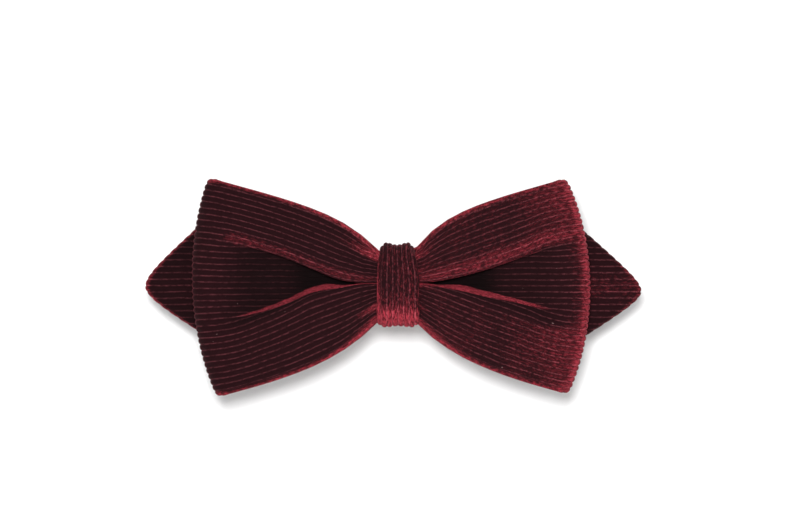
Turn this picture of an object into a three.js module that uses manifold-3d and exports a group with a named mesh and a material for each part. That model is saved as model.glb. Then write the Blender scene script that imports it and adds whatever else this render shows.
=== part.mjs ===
// Clip-on bow tie: a looped corduroy bow over a pointed tail strip, gathered in a knot band,
// with a sprung two-jaw collar clip sewn behind the knot.
// Millimetres. X runs along the bow, Z is up and the front faces -Y.
// The origin is on the raised seat of the clip, where the front of a collar rests.

import * as THREE from "three";
import { LoftGeometry } from "three/addons/geometries/LoftGeometry.js";
import { mergeVertices } from "three/addons/utils/BufferGeometryUtils.js";
import Module from "manifold-3d";

// ---- driving dimensions ----

// cloth
const clothThickness = 0.7;
const stiffenerThickness = 0.4;
const gap = 0.3; // between pieces that lie on each other
const threadDiameter = 0.4;

// knot band
const knotWidth = 11.3;
const knotHeight = 21.5;
const knotCorner = 3.6;
const knotSeamGap = 1.8; // between the band's two ends, at the back
const knotOverhang = 0.3; // the strips stay gathered this far past the band
const gatherTurns = 2;
const gatherPitch = 1.6;

// front bow: each edge rises as waist + slope * run + flare * (1 - exp(-run / turn))
const foldRadius = 2.4;
const foldSag = 2.1; // how much further forward the cloth lies at the fold than at the waist
const lobeRise = 3.2;
const lobeEdge = 0.15; // what is left of the lobe's rise at the strip's long edges
const waistRidge = 0.5; // where the lobes crest at the waist, from 0 at the middle to 1 at the edge
const releaseLength = 2.2; // over which the cloth springs open outside the band
const backEndGap = 1.2; // between the strip's two ends, behind the knot
const wings = {
  left: {
    side: -1,
    reach: 52.7, // at mid height
    reachTilt: 1.05,
    reachCurve: 4.55,
    top: { waist: 9, slope: 0.26, flare: 7.2, turn: 8.4, ridge: 0.43 },
    low: { waist: 9.6, slope: 0.21, flare: 10.8, turn: 13, ridge: 0.3 },
  },
  right: {
    side: 1,
    reach: 49.2,
    reachTilt: -0.25,
    reachCurve: 5.15,
    top: { waist: 10.4, slope: 0.27, flare: 6.7, turn: 7.2, ridge: 0.42 },
    low: { waist: 10.5, slope: 0.205, flare: 10.1, turn: 13.6, ridge: 0.3 },
  },
};

// tail strip
const tails = {
  left: { side: -1, reach: 65, tipHeight: -0.5 },
  right: { side: 1, reach: 62.5, tipHeight: -1.3 },
};
const tailShoulderX = 44.5;
const tailShoulderTop = 19.5;
const tailShoulderLow = 16.5;
const tailShoulderRound = 2.2;
const tailTipRound = 3.2;
const tailTipPast = 0.35 * tailTipRound; // how far the rounding takes the tip back
const tailTurningGap = { width: 9, height: 2.4 }; // left open at the back, under the knot

// backing patch
const patch = { width: 18, height: 13, thickness: 1, corner: 2 };

// collar clip
const plate = { length: 50, height: 9, thickness: 0.8, corner: 3 };
const seat = { width: 9.2, height: 7, rise: 0.4, corner: 1 };
const sewing = { holeX: 6.3, holeZ: 1.8, holeRadius: 0.6 };
const pivotX = 10;
const pivotHeight = 3.6; // of the hinge pin above the plate
const pinRadius = 0.6;
const pinClearance = 0.1;
const pinHead = { radius: 1, thickness: 0.4 };
const earThickness = 0.8;
const earRadius = 2.4;
const jaw = { thickness: 0.8, cheekThickness: 0.7, cheekRadius: 1.9, archHeight: 2, biteX: 23 };
const thumbTab = { endX: 2.2, height: 7.4 };
const tooth = { count: 4, depth: 1 };
const spring = { wire: 0.5, meanRadius: 1.1, turns: 4, legLength: 5 };

// ---- depths of the stacked layers, from the seat forwards ----

const stripThickness = 2 * clothThickness + 2 * gap + stiffenerThickness;
const halfStrip = stripThickness / 2;
const threadRoom = threadDiameter + 2 * gap;
const plateBack = -seat.rise;
const plateFront = plateBack - plate.thickness;
const patchBack = plateFront - gap;
const patchFront = patchBack - patch.thickness;
const knotBack = patchFront - gap;
const tailBack = knotBack - stripThickness - threadRoom;
const tailFront = tailBack - stripThickness;
const bowBackY = tailFront - gap - halfStrip;
const bowWaistY = bowBackY - stripThickness - gap;
const bowFoldY = bowBackY - 2 * foldRadius;
const waistFront = bowWaistY - lobeRise - halfStrip;
const knotFront = waistFront - threadRoom - stripThickness;
const knotHalf = knotWidth / 2;
const gatherEnd = knotHalf + knotOverhang;
const waistHalfHeight = knotHeight / 2 - stripThickness - threadRoom; // of the strips inside the band
const pivotY = plateBack + pivotHeight;

// ---- materials ----

const corduroy = new THREE.MeshStandardMaterial({ color: 0x4a1018, roughness: 0.95, metalness: 0 });
const canvas = new THREE.MeshStandardMaterial({ color: 0xd8d2c4, roughness: 0.9, metalness: 0 });
const felt = new THREE.MeshStandardMaterial({ color: 0x2a0a10, roughness: 1, metalness: 0 });
const thread = new THREE.MeshStandardMaterial({ color: 0x3c0c14, roughness: 0.7, metalness: 0 });
const nickel = new THREE.MeshStandardMaterial({ color: 0xc9c7c1, roughness: 0.28, metalness: 1 });
const springSteel = new THREE.MeshStandardMaterial({ color: 0x8d8f92, roughness: 0.35, metalness: 1 });

// ---- solids ----

const wasm = await Module();
wasm.setup();

function toSolid(geometry) {
  const bare = new THREE.BufferGeometry().copy(geometry);
  bare.deleteAttribute("normal");
  bare.deleteAttribute("uv");
  const merged = mergeVertices(bare, 1e-4);
  return new wasm.Manifold(
    new wasm.Mesh({
      numProp: 3,
      vertProperties: merged.attributes.position.array,
      triVerts: new Uint32Array(merged.index.array),
    }),
  );
}

function toGeometry(solid) {
  const mesh = solid.getMesh();
  const geometry = new THREE.BufferGeometry();
  geometry.setAttribute("position", new THREE.BufferAttribute(mesh.vertProperties, 3));
  geometry.setIndex(new THREE.BufferAttribute(mesh.triVerts, 1));
  const flat = geometry.toNonIndexed();
  flat.computeVertexNormals();
  return flat;
}

function namedMesh(name, shape, material) {
  const geometry = shape.isBufferGeometry ? shape : toGeometry(shape);
  const mesh = new THREE.Mesh(geometry, material);
  mesh.name = name;
  return mesh;
}

// A skin through sections of points, each run up one face and back down the other, with both ends closed.
function loft(sections) {
  const geometry = new LoftGeometry(sections);
  const columns = sections[0].length;
  const index = [...geometry.index.array];
  const closeEnd = (first, order) => {
    for (let i = 0; i < columns / 2 - 1; i += 1) {
      const corners = [first + i, first + i + 1, first + columns - 2 - i, first + columns - 1 - i];
      const [a, b, c, d] = order.map((corner) => corners[corner]);
      index.push(a, b, c, a, c, d);
    }
  };
  closeEnd(0, [0, 3, 2, 1]);
  closeEnd((sections.length - 1) * (columns + 1), [0, 1, 2, 3]);
  geometry.setIndex(index);
  return geometry;
}

function mix(a, b, share) {
  return a + (b - a) * share;
}

function smooth(from, to, value) {
  return THREE.MathUtils.smoothstep(value, from, to);
}

function roundedRectangle(width, height, corner) {
  const x = width / 2;
  const y = height / 2;
  const shape = new THREE.Shape();
  shape.absarc(x - corner, y - corner, corner, 0, Math.PI / 2);
  shape.absarc(-x + corner, y - corner, corner, Math.PI / 2, Math.PI);
  shape.absarc(-x + corner, -y + corner, corner, Math.PI, 1.5 * Math.PI);
  shape.absarc(x - corner, -y + corner, corner, 1.5 * Math.PI, 2 * Math.PI);
  shape.closePath();
  return shape;
}

// A slab whose outline is drawn in X and Z, from yBack forwards to yFront.
function slab(shape, yBack, yFront, curveSegments = 4) {
  const geometry = new THREE.ExtrudeGeometry(shape, {
    depth: yBack - yFront,
    bevelEnabled: false,
    curveSegments,
  });
  geometry.rotateX(Math.PI / 2);
  geometry.translate(0, yBack, 0);
  return geometry;
}

// A plate whose outline is drawn in X and Y, between two heights.
function level(shape, low, high, curveSegments = 6) {
  const geometry = new THREE.ExtrudeGeometry(shape, {
    depth: high - low,
    bevelEnabled: false,
    curveSegments,
  });
  geometry.translate(0, 0, low);
  return geometry;
}

// A round bar along Y, for holes through the plate and patch.
function barAlongY(radius, x, z, yBack, yFront) {
  const geometry = new THREE.CylinderGeometry(radius, radius, yBack - yFront, 12);
  geometry.translate(x, (yBack + yFront) / 2, z);
  return geometry;
}

// A round bar along Z, centred on height 0.
function barAlongZ(radius, x, y, length, sides = 16) {
  const geometry = new THREE.CylinderGeometry(radius, radius, length, sides);
  geometry.rotateX(Math.PI / 2);
  geometry.translate(x, y, 0);
  return geometry;
}

// A thread or wire of round section along a smooth curve through the points.
function wire(points, diameter, steps, sides = 6) {
  const section = new THREE.Shape(
    Array.from({ length: sides }, (_, i) => {
      const turn = (2 * Math.PI * i) / sides;
      return new THREE.Vector2(Math.cos(turn), Math.sin(turn)).multiplyScalar(diameter / 2);
    }),
  );
  const path = new THREE.CatmullRomCurve3(points, false, "centripetal");
  return new THREE.ExtrudeGeometry(section, { steps, extrudePath: path, bevelEnabled: false });
}

// ---- front bow ----

function edgeHeight(edge, x) {
  const run = Math.max(0, Math.abs(x) - knotHalf);
  const open = edge.waist + edge.slope * run + edge.flare * (1 - Math.exp(-run / edge.turn));
  return mix(waistHalfHeight, open, smooth(gatherEnd, gatherEnd + releaseLength, Math.abs(x)));
}

// How far out the wing reaches at row t, which runs from -1 at the low edge to 1 at the top edge.
function wingReach(wing, t) {
  return wing.reach + wing.reachTilt * t - wing.reachCurve * t * t;
}

// The middle of the front layer, which lifts into two lobes and leaves a valley between them.
function bowFrontY(wing, x, t) {
  const out = THREE.MathUtils.clamp((Math.abs(x) - knotHalf) / (wing.reach - foldRadius - knotHalf), 0, 1);
  const edge = t >= 0 ? wing.top : wing.low;
  const ridge = mix(waistRidge, edge.ridge, out);
  const across = Math.abs(t);
  const valley = Math.sin(((Math.PI / 2) * Math.min(across, ridge)) / ridge) ** 2;
  const fall = (1 - lobeEdge) * (Math.max(0, across - ridge) / (1 - ridge)) ** 2;
  const rise = lobeRise * (1 - out * out) * (valley - fall);
  return mix(bowWaistY, bowFoldY, out) - rise;
}

// One section across the strip. x and y give the middle of the strip at each row, aim its outward side.
function stripSection(wing, rows, thickness, inset, place) {
  const outer = [];
  const inner = [];
  for (let i = 0; i <= rows; i += 1) {
    const full = (2 * i) / rows - 1;
    const span = edgeHeight(wing.top, place(full).x) + edgeHeight(wing.low, place(full).x);
    const t = full * (1 - (2 * inset) / span);
    const { x, y, aim } = place(t);
    const z = mix(-edgeHeight(wing.low, x), edgeHeight(wing.top, x), (t + 1) / 2);
    outer.push(new THREE.Vector3(x + aim.x * thickness, y + aim.y * thickness, z));
    inner.push(new THREE.Vector3(x - aim.x * thickness, y - aim.y * thickness, z));
  }
  return [...inner, ...outer.reverse()];
}

// Sections from the strip's end behind the knot, out round the fold and in along the front to the middle.
function wingSections(wing, rows, thickness, inset, endShift) {
  const backShares = [0, 0.055, 0.18, 0.43, 0.75]; // of the way from the band to the fold
  const frontShares = [0.8, 0.59, 0.41, 0.26, 0.15, 0.055, 0];
  const foldSteps = 5;
  const foldX = (t) => wingReach(wing, t) - halfStrip - foldRadius;
  const along = (share, t) => {
    const level = mix(gatherEnd, foldX(0), share);
    return wing.side * (level + share * share * (foldX(t) - foldX(0)));
  };
  const places = [];
  places.push(() => ({ x: wing.side * (backEndGap / 2 + endShift), y: bowBackY, aim: new THREE.Vector2(0, 1) }));
  backShares.forEach((share) =>
    places.push((t) => ({ x: along(share, t), y: bowBackY, aim: new THREE.Vector2(0, 1) })),
  );
  for (let i = 0; i <= foldSteps; i += 1) {
    const angle = (Math.PI * i) / foldSteps;
    const aim = new THREE.Vector2(wing.side * Math.sin(angle), Math.cos(angle));
    places.push((t) => ({
      x: wing.side * foldX(t) + foldRadius * aim.x,
      y: bowBackY - foldRadius + foldRadius * aim.y,
      aim,
    }));
  }
  frontShares.forEach((share) =>
    places.push((t) => ({
      x: along(share, t),
      y: bowFrontY(wing, along(share, t), t),
      aim: new THREE.Vector2(0, -1),
    })),
  );
  places.push((t) => ({ x: 0, y: bowFrontY(wing, 0, t), aim: new THREE.Vector2(0, -1) }));
  return places.map((place) => stripSection(wing, rows, thickness, inset, place));
}

function bowLoop(rows, thickness, inset, endShift) {
  const left = wingSections(wings.left, rows, thickness, inset, endShift);
  const right = wingSections(wings.right, rows, thickness, inset, endShift);
  const sections = [...left, ...right.reverse().slice(1)];
  return loft(sections);
}

function makeFrontBow() {
  const rows = 8;
  const roomThickness = stiffenerThickness / 2 + gap;
  const outside = toSolid(bowLoop(rows, halfStrip, 0, 0));
  const room = toSolid(bowLoop(rows, roomThickness, clothThickness, -backEndGap / 4));
  const cover = outside.subtract(room);
  const stiffener = bowLoop(rows, stiffenerThickness / 2, clothThickness + gap, gap);
  const group = new THREE.Group();
  group.add(namedMesh("front_bow_cover", cover, corduroy));
  group.add(namedMesh("front_bow_stiffener", stiffener, canvas));
  return group;
}

// ---- tail strip ----

// The outline of the strip with both pointed ends, drawn in X and Z and pulled in by inset.
function tailOutline(inset) {
  const shape = new THREE.Shape();
  const waist = waistHalfHeight - inset;
  const top = tailShoulderTop - inset;
  const low = -tailShoulderLow + inset;
  const halfEnd = (tail, shoulder) => {
    const meet = tail.reach + tailTipPast - 1.4 * inset; // where the edges would meet in a sharp point
    const tip = new THREE.Vector2(tail.side * meet, tail.tipHeight);
    const corner = new THREE.Vector2(tail.side * tailShoulderX, shoulder);
    const away = new THREE.Vector2().subVectors(tip, corner).normalize();
    return {
      corner,
      past: corner.clone().addScaledVector(away, tailShoulderRound),
      nearTip: tip.clone().addScaledVector(away, -tailTipRound),
      tip,
      before: new THREE.Vector2(tail.side * (tailShoulderX - tailShoulderRound), shoulder),
      bend: new THREE.Vector2(tail.side * tailShoulderX * 0.45, shoulder * 0.82),
    };
  };
  const drawOut = (tail, shoulder) => {
    const p = halfEnd(tail, shoulder);
    shape.lineTo(tail.side * gatherEnd, Math.sign(shoulder) * waist);
    shape.quadraticCurveTo(p.bend.x, p.bend.y, p.before.x, p.before.y);
    shape.quadraticCurveTo(p.corner.x, p.corner.y, p.past.x, p.past.y);
    shape.lineTo(p.nearTip.x, p.nearTip.y);
    return p;
  };
  const drawIn = (tail, shoulder) => {
    const p = halfEnd(tail, shoulder);
    shape.quadraticCurveTo(p.tip.x, p.tip.y, p.nearTip.x, p.nearTip.y);
    shape.lineTo(p.past.x, p.past.y);
    shape.quadraticCurveTo(p.corner.x, p.corner.y, p.before.x, p.before.y);
    shape.quadraticCurveTo(p.bend.x, p.bend.y, tail.side * gatherEnd, Math.sign(shoulder) * waist);
  };
  shape.moveTo(tails.right.side * gatherEnd, -waist);
  drawOut(tails.right, low);
  drawIn(tails.right, top);
  drawOut(tails.left, top);
  drawIn(tails.left, low);
  shape.closePath();
  return shape;
}

function makeTails() {
  const outside = toSolid(slab(tailOutline(0), tailBack, tailFront));
  const room = toSolid(slab(tailOutline(clothThickness), tailBack - clothThickness, tailFront + clothThickness));
  const turningSlot = roundedRectangle(tailTurningGap.width, tailTurningGap.height, tailTurningGap.height / 3);
  const turning = toSolid(slab(turningSlot, tailBack + gap, tailBack - clothThickness - gap / 2));
  const cover = outside.subtract(room).subtract(turning);
  const stiffenerInset = clothThickness + gap;
  const stiffener = slab(tailOutline(stiffenerInset), tailBack - stiffenerInset, tailFront + stiffenerInset);
  const group = new THREE.Group();
  group.add(namedMesh("tail_cover", cover, corduroy));
  group.add(namedMesh("tail_stiffener", stiffener, canvas));
  return group;
}

// ---- knot band ----

// Points in Y and Z round a band, pulled in by inset, from its low end at the back to its top end.
function bandPoints(inset, seamHalf, cornerSteps = 3) {
  const back = knotBack - inset;
  const front = knotFront + inset;
  const half = knotHeight / 2 - inset;
  const corner = knotCorner - inset;
  const path = new THREE.Path();
  path.moveTo(back, -seamHalf);
  path.absarc(back - corner, -half + corner, corner, 0, -Math.PI / 2, true);
  path.absarc(front + corner, -half + corner, corner, -Math.PI / 2, -Math.PI, true);
  path.absarc(front + corner, half - corner, corner, Math.PI, Math.PI / 2, true);
  path.absarc(back - corner, half - corner, corner, Math.PI / 2, 0, true);
  path.lineTo(back, seamHalf);
  return path.getPoints(cornerSteps);
}

// The band between two insets from its outer face, as wide as given.
function knotLoop(outerInset, innerInset, width, seamHalf) {
  const outer = bandPoints(outerInset, seamHalf);
  const inner = bandPoints(innerInset, seamHalf);
  const half = width / 2;
  const ease = Math.min(0.5, (innerInset - outerInset) / 3);
  const sections = outer.map((far, i) => {
    const near = inner[i];
    const at = (x, share) => new THREE.Vector3(x, mix(far.x, near.x, share), mix(far.y, near.y, share));
    const outside = [at(-half + ease, 0), at(half - ease, 0), at(half, 0.5)];
    const inside = [at(half - ease, 1), at(-half + ease, 1), at(-half, 0.5)];
    return [...outside, ...inside];
  });
  return loft(sections);
}

function gatherPoints() {
  const turn = bandPoints(stripThickness + gap + threadDiameter / 2, 0, 3);
  const points = [];
  for (let i = 0; i < gatherTurns; i += 1) {
    turn.slice(i ? 1 : 0).forEach((p, step) => {
      const share = i + step / turn.length;
      points.push(new THREE.Vector3((share - gatherTurns / 2) * gatherPitch, p.x, p.y));
    });
  }
  return points;
}

function closingPoints() {
  const stitches = 8;
  const reach = knotHalf - 2 * threadDiameter;
  const swing = knotSeamGap / 2 - gap - threadDiameter / 2;
  return Array.from({ length: stitches + 1 }, (_, i) => {
    const x = mix(-reach, reach, i / stitches);
    return new THREE.Vector3(x, knotBack - halfStrip, i % 2 ? swing : -swing);
  });
}

function makeKnot() {
  const seamHalf = knotSeamGap / 2;
  const roomInset = clothThickness;
  const outside = toSolid(knotLoop(0, stripThickness, knotWidth, seamHalf));
  const room = toSolid(
    knotLoop(roomInset, stripThickness - roomInset, knotWidth - 2 * roomInset, seamHalf - gap),
  );
  const stiffenerInset = clothThickness + gap;
  const stiffener = knotLoop(
    stiffenerInset,
    stripThickness - stiffenerInset,
    knotWidth - 2 * stiffenerInset,
    seamHalf + gap,
  );
  const group = new THREE.Group();
  group.add(namedMesh("knot_band_cover", outside.subtract(room), corduroy));
  group.add(namedMesh("knot_band_stiffener", stiffener, canvas));
  group.add(namedMesh("waist_gathering_thread", wire(gatherPoints(), threadDiameter, 56, 5), thread));
  group.add(namedMesh("knot_closing_thread", wire(closingPoints(), threadDiameter, 32, 5), thread));
  return group;
}

// ---- backing patch and sewing ----

function sewingHoles(yBack, yFront) {
  const holes = [];
  [-1, 1].forEach((sideX) =>
    [-1, 1].forEach((sideZ) =>
      holes.push(
        toSolid(barAlongY(sewing.holeRadius, sideX * sewing.holeX, sideZ * sewing.holeZ, yBack, yFront)),
      ),
    ),
  );
  return holes;
}

function withoutHoles(solid, holes) {
  return holes.reduce((rest, hole) => rest.subtract(hole), solid);
}

// One staple of thread up through two holes and across the plate's back.
function clipThreadPoints(side) {
  const x = side * sewing.holeX;
  const over = plateBack + gap + threadDiameter / 2;
  const end = patchFront;
  const bend = threadDiameter * 0.9;
  const leg = (z) => [
    new THREE.Vector3(x, end, z),
    new THREE.Vector3(x, mix(end, over, 0.45), z),
    new THREE.Vector3(x, over - bend, z),
  ];
  const lowLeg = leg(-sewing.holeZ);
  const topLeg = leg(sewing.holeZ).reverse();
  const across = [-1, 0, 1].map((i) => new THREE.Vector3(x, over, i * (sewing.holeZ - bend)));
  return [...lowLeg, ...across, ...topLeg];
}

function makeBacking() {
  const holes = sewingHoles(patchBack + gap, patchFront - gap);
  const outline = roundedRectangle(patch.width, patch.height, patch.corner);
  const cloth = withoutHoles(toSolid(slab(outline, patchBack, patchFront)), holes);
  const group = new THREE.Group();
  group.add(namedMesh("backing_patch", cloth, felt));
  group.add(namedMesh("left_clip_thread", wire(clipThreadPoints(-1), threadDiameter, 16), thread));
  group.add(namedMesh("right_clip_thread", wire(clipThreadPoints(1), threadDiameter, 16), thread));
  return group;
}

// ---- collar clip ----

// An ear stands up from the plate's long edge and holds one end of a hinge pin.
function earSolid(side, sideZ) {
  const x = side * pivotX;
  const shape = new THREE.Shape();
  shape.moveTo(x - earRadius, plateFront);
  shape.lineTo(x + earRadius, plateFront);
  shape.absarc(x, pivotY, earRadius, 0, Math.PI);
  shape.closePath();
  const outer = (sideZ * plate.height) / 2;
  const inner = sideZ * (plate.height / 2 - earThickness);
  return toSolid(level(shape, Math.min(outer, inner), Math.max(outer, inner)));
}

function makeBasePlate() {
  const outline = roundedRectangle(plate.length, plate.height, plate.corner);
  const raised = roundedRectangle(seat.width, seat.height, seat.corner);
  let solid = toSolid(slab(outline, plateBack, plateFront));
  solid = solid.add(toSolid(slab(raised, 0, plateFront + plate.thickness / 2)));
  [-1, 1].forEach((side) => {
    [-1, 1].forEach((sideZ) => {
      solid = solid.add(earSolid(side, sideZ));
    });
    const bore = barAlongZ(pinRadius + pinClearance, side * pivotX, pivotY, plate.height + 2);
    solid = solid.subtract(toSolid(bore));
  });
  return namedMesh("clip_base_plate", withoutHoles(solid, sewingHoles(gap, plateFront - gap)), nickel);
}

// A bent metal strap drawn in X and Y: the points are its middle line.
function strapShape(points, thickness) {
  const offset = (i, sign) => {
    const before = points[Math.max(0, i - 1)];
    const after = points[Math.min(points.length - 1, i + 1)];
    const along = new THREE.Vector2().subVectors(after, before).normalize();
    return new THREE.Vector2(-along.y, along.x).multiplyScalar((sign * thickness) / 2).add(points[i]);
  };
  const upper = points.map((_, i) => offset(i, 1));
  const under = points.map((_, i) => offset(i, -1)).reverse();
  return new THREE.Shape([...upper, ...under]);
}

// The right-hand jaw: thumb tab, arch over the collar and toothed bite, with two cheeks on the pin.
function makeJaw(name) {
  const cheekOuter = plate.height / 2 - earThickness - gap;
  const width = 2 * cheekOuter;
  const archY = pivotY + jaw.archHeight;
  const biteTop = archY - jaw.thickness / 2;
  const middle = [
    [thumbTab.endX, plateBack + thumbTab.height + 0.3],
    [thumbTab.endX + 1.2, plateBack + thumbTab.height],
    [pivotX - earRadius, archY],
    [pivotX, archY - 0.1],
    [jaw.biteX - 2.2, archY - 0.1],
    [jaw.biteX - 0.8, biteTop - 0.2],
    [jaw.biteX, biteTop - 1.6],
    [jaw.biteX, plateBack + gap],
  ].map(([x, y]) => new THREE.Vector2(x, y));
  let solid = toSolid(level(strapShape(middle, jaw.thickness), -cheekOuter, cheekOuter));
  [-1, 1].forEach((sideZ) => {
    const cheek = new THREE.Shape();
    cheek.absarc(pivotX, pivotY, jaw.cheekRadius, Math.PI, 2 * Math.PI);
    cheek.lineTo(pivotX + jaw.cheekRadius, archY);
    cheek.lineTo(pivotX - jaw.cheekRadius, archY);
    cheek.closePath();
    const faces = [sideZ * cheekOuter, sideZ * (cheekOuter - jaw.cheekThickness)];
    solid = solid.add(toSolid(level(cheek, Math.min(...faces), Math.max(...faces))));
  });
  solid = solid.subtract(toSolid(barAlongZ(pinRadius + pinClearance, pivotX, pivotY, width + 2)));
  const notchWidth = width / (tooth.count + 0.5);
  for (let i = 0; i < tooth.count; i += 1) {
    const z = (i - (tooth.count - 1) / 2) * notchWidth;
    const notch = new THREE.CylinderGeometry(tooth.depth, tooth.depth, 3 * jaw.thickness, 4);
    notch.rotateZ(Math.PI / 2);
    notch.scale(1, 1, (0.42 * notchWidth) / tooth.depth);
    notch.translate(jaw.biteX, plateBack + gap, z);
    solid = solid.subtract(toSolid(notch));
  }
  return namedMesh(name, solid, nickel);
}

function makePin(name) {
  const shaftEnd = plate.height / 2 + gap;
  const headEnd = shaftEnd + pinHead.thickness;
  const profile = [
    [0, -headEnd],
    [pinHead.radius, -headEnd],
    [pinHead.radius, -shaftEnd],
    [pinRadius, -shaftEnd],
    [pinRadius, shaftEnd],
    [pinHead.radius, shaftEnd],
    [pinHead.radius, headEnd],
    [0, headEnd],
  ].map(([radius, height]) => new THREE.Vector2(radius, height));
  const pin = new THREE.LatheGeometry(profile, 16);
  pin.rotateX(Math.PI / 2);
  pin.translate(pivotX, pivotY, 0);
  return namedMesh(name, pin, nickel);
}

// Torsion spring: one leg on the plate, a coil round the pin, one leg under the thumb tab.
function makeSpring(name) {
  const coilHalf = plate.height / 2 - earThickness - gap - jaw.cheekThickness - gap - spring.wire / 2;
  const coilSteps = 8 * spring.turns;
  const legX = pivotX - spring.legLength;
  const points = [new THREE.Vector3(legX, plateBack + gap + spring.wire / 2, -coilHalf)];
  points.push(new THREE.Vector3(mix(legX, pivotX, 0.5), mix(plateBack + gap, pivotY, 0.3), -coilHalf));
  for (let i = 0; i <= coilSteps; i += 1) {
    const turn = -Math.PI / 2 + (2 * Math.PI * i * (spring.turns + 0.5)) / coilSteps;
    points.push(
      new THREE.Vector3(
        pivotX + spring.meanRadius * Math.cos(turn),
        pivotY + spring.meanRadius * Math.sin(turn),
        mix(-coilHalf, coilHalf, i / coilSteps),
      ),
    );
  }
  points.push(new THREE.Vector3(mix(legX, pivotX, 0.5), pivotY + spring.meanRadius + 0.1, coilHalf));
  points.push(new THREE.Vector3(legX, pivotY + spring.meanRadius + 0.5, coilHalf));
  return namedMesh(name, wire(points, spring.wire, 64), springSteel);
}

function makeClipHalf(label, side) {
  const half = new THREE.Group();
  half.add(makeJaw(`${label}_clip_jaw`));
  half.add(makePin(`${label}_hinge_pin`));
  half.add(makeSpring(`${label}_torsion_spring`));
  half.scale.x = side;
  return half;
}

function makeClip() {
  const group = new THREE.Group();
  group.add(makeBasePlate());
  group.add(makeClipHalf("left", -1));
  group.add(makeClipHalf("right", 1));
  return group;
}

// ---- assembly ----

const bowTie = new THREE.Group();
bowTie.add(makeFrontBow());
bowTie.add(makeTails());
bowTie.add(makeKnot());
bowTie.add(makeBacking());
bowTie.add(makeClip());

export default bowTie;
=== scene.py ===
import bmesh
import bpy
import numpy as np
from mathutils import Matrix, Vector


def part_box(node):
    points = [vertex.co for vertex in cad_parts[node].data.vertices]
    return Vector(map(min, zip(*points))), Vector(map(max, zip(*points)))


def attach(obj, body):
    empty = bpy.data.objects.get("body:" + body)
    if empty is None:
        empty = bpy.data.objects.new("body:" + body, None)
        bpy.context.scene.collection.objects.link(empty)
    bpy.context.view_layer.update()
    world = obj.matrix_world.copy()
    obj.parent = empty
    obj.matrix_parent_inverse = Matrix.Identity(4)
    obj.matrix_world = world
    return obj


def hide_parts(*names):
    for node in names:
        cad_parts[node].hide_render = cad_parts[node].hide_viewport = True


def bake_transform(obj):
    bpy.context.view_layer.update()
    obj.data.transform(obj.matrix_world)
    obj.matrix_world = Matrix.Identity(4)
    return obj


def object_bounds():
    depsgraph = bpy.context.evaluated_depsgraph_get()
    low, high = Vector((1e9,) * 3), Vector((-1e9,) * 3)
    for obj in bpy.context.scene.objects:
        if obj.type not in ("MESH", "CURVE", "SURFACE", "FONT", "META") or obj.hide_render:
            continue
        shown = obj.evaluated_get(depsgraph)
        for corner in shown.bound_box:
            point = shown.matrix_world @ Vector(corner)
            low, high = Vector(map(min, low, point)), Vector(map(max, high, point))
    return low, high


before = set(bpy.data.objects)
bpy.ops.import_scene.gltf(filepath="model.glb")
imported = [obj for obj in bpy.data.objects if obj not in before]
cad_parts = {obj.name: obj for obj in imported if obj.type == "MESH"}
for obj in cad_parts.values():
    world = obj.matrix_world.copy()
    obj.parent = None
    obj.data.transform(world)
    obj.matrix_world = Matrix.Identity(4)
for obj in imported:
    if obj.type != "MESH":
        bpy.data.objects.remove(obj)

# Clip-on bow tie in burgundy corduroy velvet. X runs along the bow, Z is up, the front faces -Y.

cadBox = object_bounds()
mm = 0.001

cloth = {
    "ribPitch": 1.5875 * mm,  # sixteen ribs to the inch
    "ribHeight": 0.36 * mm,
    "thickness": 2.4 * mm,  # of a made-up strip: two layers and the stiffener
    "ribSteps": (0.0, 0.12, 0.3, 0.5, 0.7, 0.88),  # where one rib is sampled, 0 is the groove
}


def blendValue(a, b, share):
    return a + (b - a) * share


def smoothStep(low, high, value):
    t = np.clip((value - low) / (high - low), 0.0, 1.0)
    return t * t * (3.0 - 2.0 * t)


def ribProfile(phase):
    # height over one rib: 1 - |2f - 1|^2.6, round on top and sharp in the groove, f being the share of the rib
    f = phase % 1.0
    return 1.0 - np.abs(2.0 * f - 1.0) ** 2.6


def surfaceNormals(points, wrapColumns):
    # the cross product of the differences along the rows and along the columns
    alongRows = np.gradient(points, axis=0)
    if wrapColumns:
        alongColumns = (np.roll(points, -1, axis=1) - np.roll(points, 1, axis=1)) / 2.0
    else:
        alongColumns = np.gradient(points, axis=1)
    normal = np.cross(alongRows, alongColumns)
    length = np.linalg.norm(normal, axis=2, keepdims=True)
    return normal / np.maximum(length, 1e-12)


def smoothColumns(values, passes):
    # each pass mixes a column with its two neighbours, 1 : 2 : 1, and keeps the two ends
    out = values.copy()
    for _ in range(passes):
        out[:, 1:-1] = 0.25 * out[:, :-2] + 0.5 * out[:, 1:-1] + 0.25 * out[:, 2:]
    return out


def gridFaces(rows, columns, wrapColumns, first=0):
    # quads between neighbouring rows and columns of a grid of points
    last = columns if wrapColumns else columns - 1
    i, j = np.meshgrid(np.arange(rows - 1), np.arange(last), indexing="ij")
    k = (j + 1) % columns
    quads = np.stack([i * columns + j, i * columns + k, (i + 1) * columns + k, (i + 1) * columns + j], axis=2)
    return quads.reshape(-1, 4) + first


def makePiece(name, points, faces, material, uv=None):
    # a mesh object from arrays; uv holds one pair for each vertex
    mesh = bpy.data.meshes.new(name)
    mesh.from_pydata(points.reshape(-1, 3).tolist(), [], faces.tolist() if hasattr(faces, "tolist") else faces)
    if uv is not None:
        loops = np.zeros(len(mesh.loops), np.int32)
        mesh.loops.foreach_get("vertex_index", loops)
        layer = mesh.uv_layers.new(name="threadMap")
        layer.data.foreach_set("uv", uv.reshape(-1, 2)[loops].astype(np.float32).ravel())
    mesh.shade_smooth()
    mesh.validate()
    obj = bpy.data.objects.new(name, mesh)
    bpy.context.scene.collection.objects.link(obj)
    mesh.materials.append(material)
    return obj


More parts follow.
